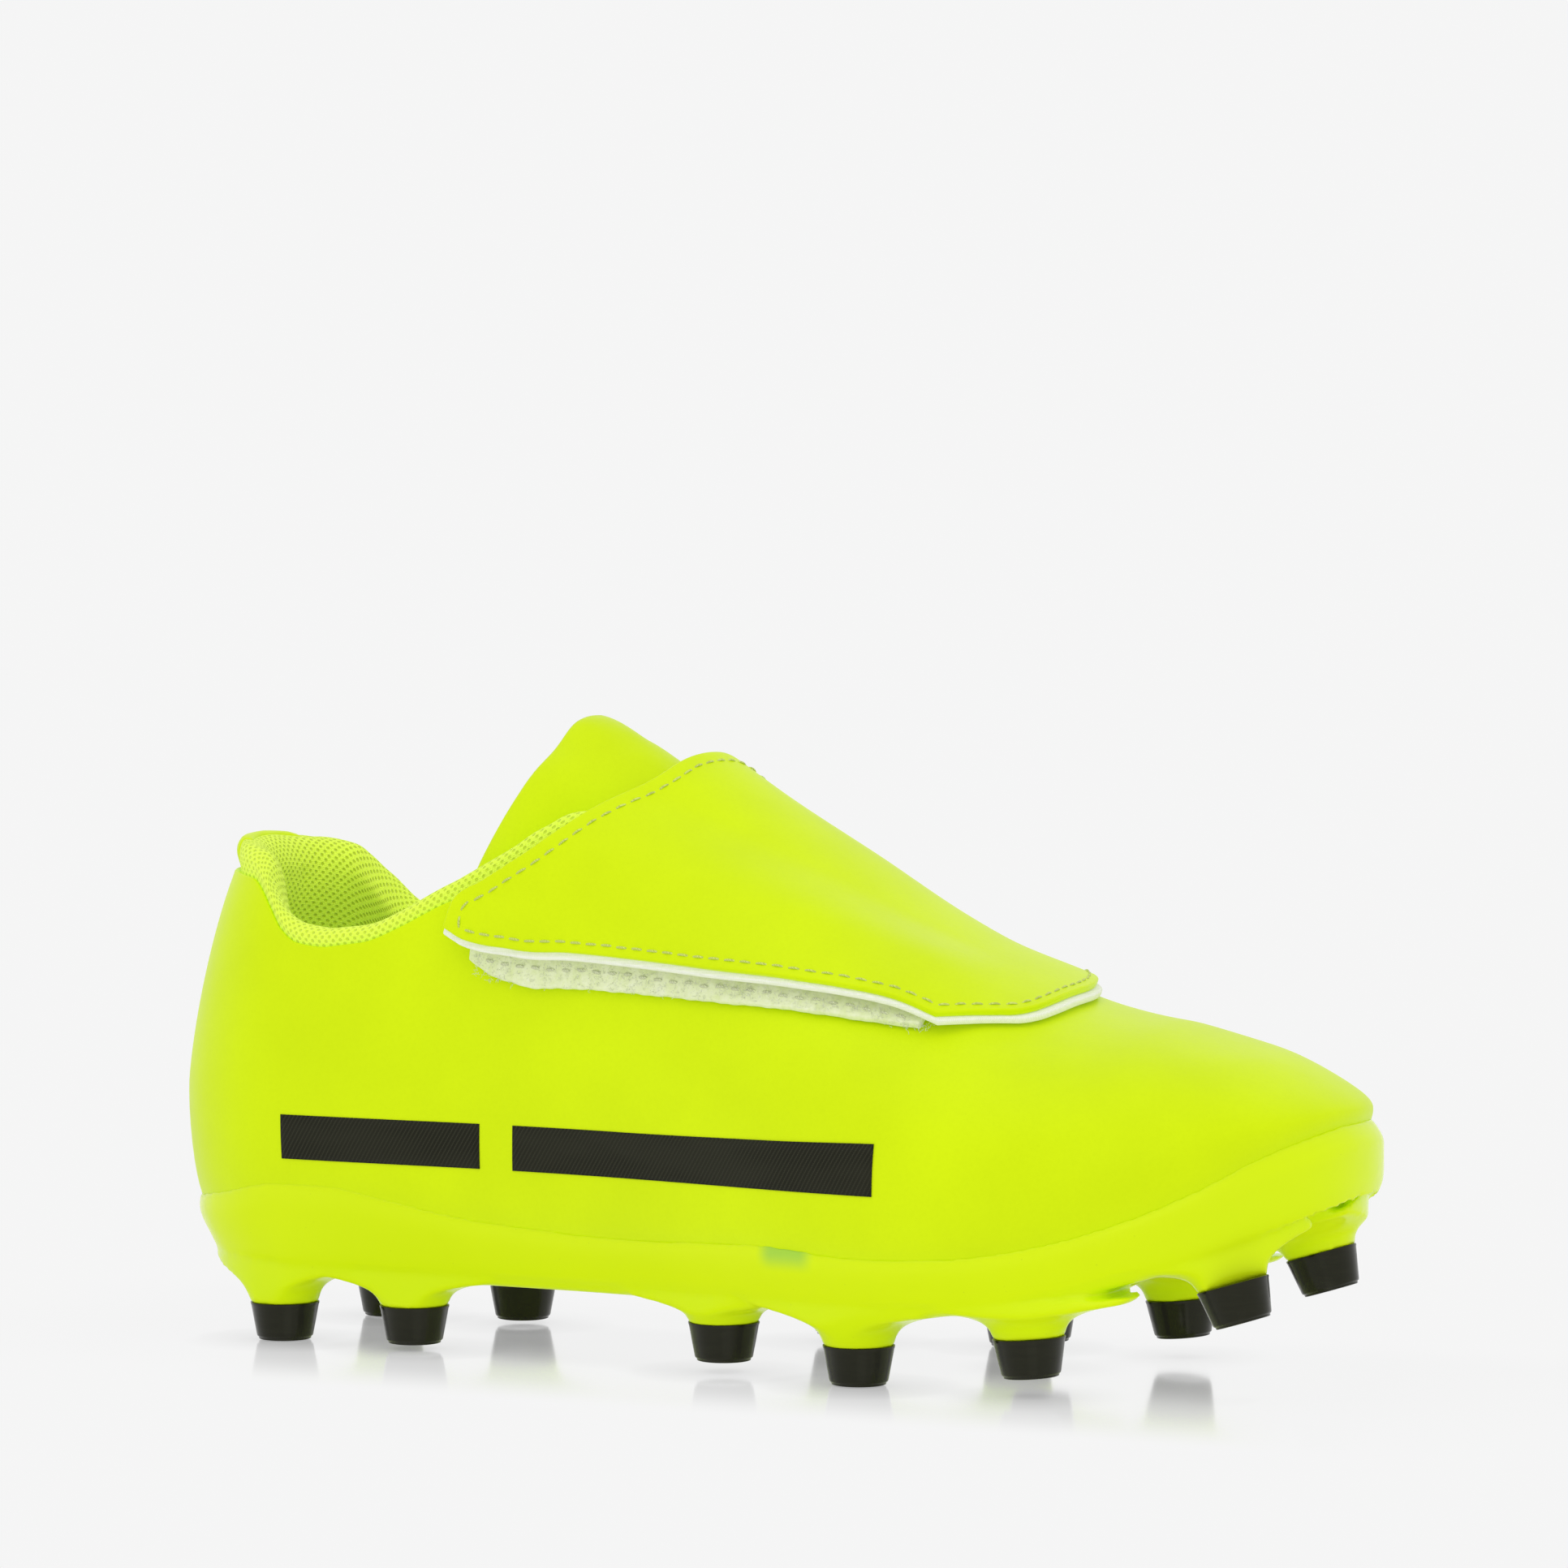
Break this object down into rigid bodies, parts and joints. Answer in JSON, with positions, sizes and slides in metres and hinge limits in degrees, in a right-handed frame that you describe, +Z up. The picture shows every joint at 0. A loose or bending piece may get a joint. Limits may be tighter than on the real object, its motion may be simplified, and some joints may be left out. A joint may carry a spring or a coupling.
{
  "type": "soccer cleat",
  "caption": "Right-foot child's firm-ground soccer cleat: moulded upper, padded collar, tongue, hook-and-loop instep strap and studded outsole",
  "frame": {"origin": "bottom centre of the boot's bounding box, on the ground plane the lowest studs stand on", "axes": "+X from heel to toe, +Y to the medial (inner) side of this right boot, +Z up"},
  "size_m": [0.2006, 0.0742, 0.0998],
  "materials": {
    "tpu_outsole": "glossy, slightly translucent moulded plastic, neon yellow-green",
    "stud_black": "satin black moulded plastic",
    "pu_upper": "satin coated synthetic leather with a fine grain, neon yellow",
    "mesh_lining": "padded air mesh",
    "lining_fabric": "matte knitted lining",
    "foam": "open-cell foam",
    "counter_board": "matte stiffener sheet",
    "insole_board": "non-woven board",
    "sock_cover": "brushed textile",
    "sock_foam": "closed-cell foam",
    "strap_backing": "white woven backing",
    "loop_pile": "pale fuzzy loop pile",
    "hook_tape": "moulded hook tape"
  },
  "bodies": {
    "boot": {"outsole_plate": "tpu_outsole", "upper_outer": "pu_upper", "upper_lining": "lining_fabric", "heel_counter": "counter_board", "toe_puff": "counter_board", "collar_foam": "foam", "collar_lining": "mesh_lining", "heel_tab": "pu_upper", "insole_board": "insole_board", "sockliner_foam": "sock_foam", "sockliner_cover": "sock_cover", "quarter_loop_patch": "loop_pile", "stud_tip_heel_lateral_rear": "stud_black", "stud_tip_heel_lateral_front": "stud_black", "stud_tip_heel_medial_rear": "stud_black", "stud_tip_heel_medial_front": "stud_black", "stud_tip_ball_lateral_rear": "stud_black", "stud_tip_ball_lateral_middle": "stud_black", "stud_tip_ball_lateral_front": "stud_black", "stud_tip_ball_medial_rear": "stud_black", "stud_tip_ball_medial_middle": "stud_black", "stud_tip_ball_medial_front": "stud_black", "stud_tip_forefoot_centre": "stud_black", "stud_tip_toe_lateral": "stud_black", "stud_tip_toe_medial": "stud_black"},
    "strap": {"strap_face": "pu_upper", "strap_backing": "strap_backing", "strap_hook_pad": "hook_tape"},
    "tongue": {"tongue_face": "pu_upper", "tongue_foam": "foam", "tongue_lining": "mesh_lining"}
  },
  "joints": [
    {"name": "strap_open", "type": "hinge", "parent": "boot", "child": "strap", "pos_m": [0.02171, 0.02721, 0.06278], "axis": [-0.926, -0.136, 0.3523], "range_deg": [0, 115]},
    {"name": "tongue_press_in", "type": "hinge", "parent": "boot", "child": "tongue", "pos_m": [0.02871, 0.00458, 0.06472], "axis": [0, 1, 0], "range_deg": [-14, 0]}
  ]
}
